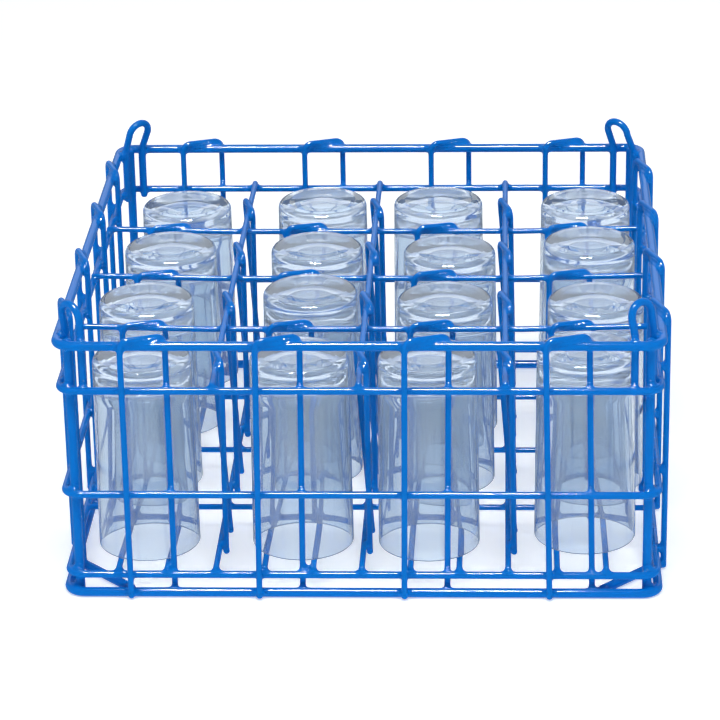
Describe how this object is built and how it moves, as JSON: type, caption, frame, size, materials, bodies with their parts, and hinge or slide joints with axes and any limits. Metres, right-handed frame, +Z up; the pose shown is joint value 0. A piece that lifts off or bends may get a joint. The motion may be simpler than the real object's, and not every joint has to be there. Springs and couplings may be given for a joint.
{
  "type": "glass washer basket",
  "caption": "Square plastic-coated steel wire basket for a glass washer, with stacking ears, welded divider wires and upturned clear tumblers in its compartments",
  "frame": {"origin": "Centre of the basket on the plane its base ring rests on", "axes": "+Z up out of the basket, -Y the front wall nearest the viewer, +X along the front wall to the right"},
  "size_m": [0.3626, 0.3626, 0.1852],
  "materials": {
    "coated_wire": "gloss",
    "tumbler_glass": "clear"
  },
  "bodies": {
    "basket": {"top_rim": "coated_wire", "upper_band": "coated_wire", "middle_band": "coated_wire", "floor_band": "coated_wire", "base_ring": "coated_wire", "corner_post_front_left": "coated_wire", "corner_post_front_right": "coated_wire", "corner_post_back_left": "coated_wire", "corner_post_back_right": "coated_wire", "corner_braces": "coated_wire", "stacking_ear_front_left": "coated_wire", "stacking_ear_front_right": "coated_wire", "stacking_ear_back_left": "coated_wire", "stacking_ear_back_right": "coated_wire", "wall_hairpins_front": "coated_wire", "wall_hairpins_back": "coated_wire", "wall_hairpins_left": "coated_wire", "wall_hairpins_right": "coated_wire", "lengthwise_divider_wire_left": "coated_wire", "lengthwise_divider_wire_middle": "coated_wire", "lengthwise_divider_wire_right": "coated_wire", "crosswise_divider_wire_front": "coated_wire", "crosswise_divider_wire_middle": "coated_wire", "crosswise_divider_wire_back": "coated_wire", "lengthwise_divider_hairpins_left": "coated_wire", "lengthwise_divider_hairpins_middle": "coated_wire", "lengthwise_divider_hairpins_right": "coated_wire", "crosswise_divider_hairpins_front": "coated_wire", "crosswise_divider_hairpins_middle": "coated_wire", "crosswise_divider_hairpins_back": "coated_wire", "floor_wire_01": "coated_wire", "floor_wire_02": "coated_wire", "floor_wire_03": "coated_wire", "floor_wire_04": "coated_wire", "floor_wire_05": "coated_wire", "floor_wire_06": "coated_wire", "floor_wire_07": "coated_wire", "floor_wire_08": "coated_wire", "floor_wire_09": "coated_wire", "floor_wire_10": "coated_wire", "floor_wire_11": "coated_wire", "floor_cross_wire_front": "coated_wire", "floor_cross_wire_middle": "coated_wire", "floor_cross_wire_back": "coated_wire"},
    "tumbler_row1_place1": {"tumbler_row1_place1": "tumbler_glass"},
    "tumbler_row1_place2": {"tumbler_row1_place2": "tumbler_glass"},
    "tumbler_row1_place3": {"tumbler_row1_place3": "tumbler_glass"},
    "tumbler_row1_place4": {"tumbler_row1_place4": "tumbler_glass"},
    "tumbler_row2_place1": {"tumbler_row2_place1": "tumbler_glass"},
    "tumbler_row2_place2": {"tumbler_row2_place2": "tumbler_glass"},
    "tumbler_row2_place3": {"tumbler_row2_place3": "tumbler_glass"},
    "tumbler_row2_place4": {"tumbler_row2_place4": "tumbler_glass"},
    "tumbler_row3_place1": {"tumbler_row3_place1": "tumbler_glass"},
    "tumbler_row3_place2": {"tumbler_row3_place2": "tumbler_glass"},
    "tumbler_row3_place3": {"tumbler_row3_place3": "tumbler_glass"},
    "tumbler_row3_place4": {"tumbler_row3_place4": "tumbler_glass"},
    "tumbler_row4_place1": {"tumbler_row4_place1": "tumbler_glass"},
    "tumbler_row4_place2": {"tumbler_row4_place2": "tumbler_glass"},
    "tumbler_row4_place3": {"tumbler_row4_place3": "tumbler_glass"},
    "tumbler_row4_place4": {"tumbler_row4_place4": "tumbler_glass"}
  },
  "joints": [
    {"name": "lift_tumbler_row1_place1", "type": "slide", "parent": "basket", "child": "tumbler_row1_place1", "axis": [0, 0, 1], "range_m": [0, 0.17]},
    {"name": "lift_tumbler_row1_place2", "type": "slide", "parent": "basket", "child": "tumbler_row1_place2", "axis": [0, 0, 1], "range_m": [0, 0.17]},
    {"name": "lift_tumbler_row1_place3", "type": "slide", "parent": "basket", "child": "tumbler_row1_place3", "axis": [0, 0, 1], "range_m": [0, 0.17]},
    {"name": "lift_tumbler_row1_place4", "type": "slide", "parent": "basket", "child": "tumbler_row1_place4", "axis": [0, 0, 1], "range_m": [0, 0.17]},
    {"name": "lift_tumbler_row2_place1", "type": "slide", "parent": "basket", "child": "tumbler_row2_place1", "axis": [0, 0, 1], "range_m": [0, 0.17]},
    {"name": "lift_tumbler_row2_place2", "type": "slide", "parent": "basket", "child": "tumbler_row2_place2", "axis": [0, 0, 1], "range_m": [0, 0.17]},
    {"name": "lift_tumbler_row2_place3", "type": "slide", "parent": "basket", "child": "tumbler_row2_place3", "axis": [0, 0, 1], "range_m": [0, 0.17]},
    {"name": "lift_tumbler_row2_place4", "type": "slide", "parent": "basket", "child": "tumbler_row2_place4", "axis": [0, 0, 1], "range_m": [0, 0.17]},
    {"name": "lift_tumbler_row3_place1", "type": "slide", "parent": "basket", "child": "tumbler_row3_place1", "axis": [0, 0, 1], "range_m": [0, 0.17]},
    {"name": "lift_tumbler_row3_place2", "type": "slide", "parent": "basket", "child": "tumbler_row3_place2", "axis": [0, 0, 1], "range_m": [0, 0.17]},
    {"name": "lift_tumbler_row3_place3", "type": "slide", "parent": "basket", "child": "tumbler_row3_place3", "axis": [0, 0, 1], "range_m": [0, 0.17]},
    {"name": "lift_tumbler_row3_place4", "type": "slide", "parent": "basket", "child": "tumbler_row3_place4", "axis": [0, 0, 1], "range_m": [0, 0.17]},
    {"name": "lift_tumbler_row4_place1", "type": "slide", "parent": "basket", "child": "tumbler_row4_place1", "axis": [0, 0, 1], "range_m": [0, 0.17]},
    {"name": "lift_tumbler_row4_place2", "type": "slide", "parent": "basket", "child": "tumbler_row4_place2", "axis": [0, 0, 1], "range_m": [0, 0.17]},
    {"name": "lift_tumbler_row4_place3", "type": "slide", "parent": "basket", "child": "tumbler_row4_place3", "axis": [0, 0, 1], "range_m": [0, 0.17]},
    {"name": "lift_tumbler_row4_place4", "type": "slide", "parent": "basket", "child": "tumbler_row4_place4", "axis": [0, 0, 1], "range_m": [0, 0.17]}
  ]
}
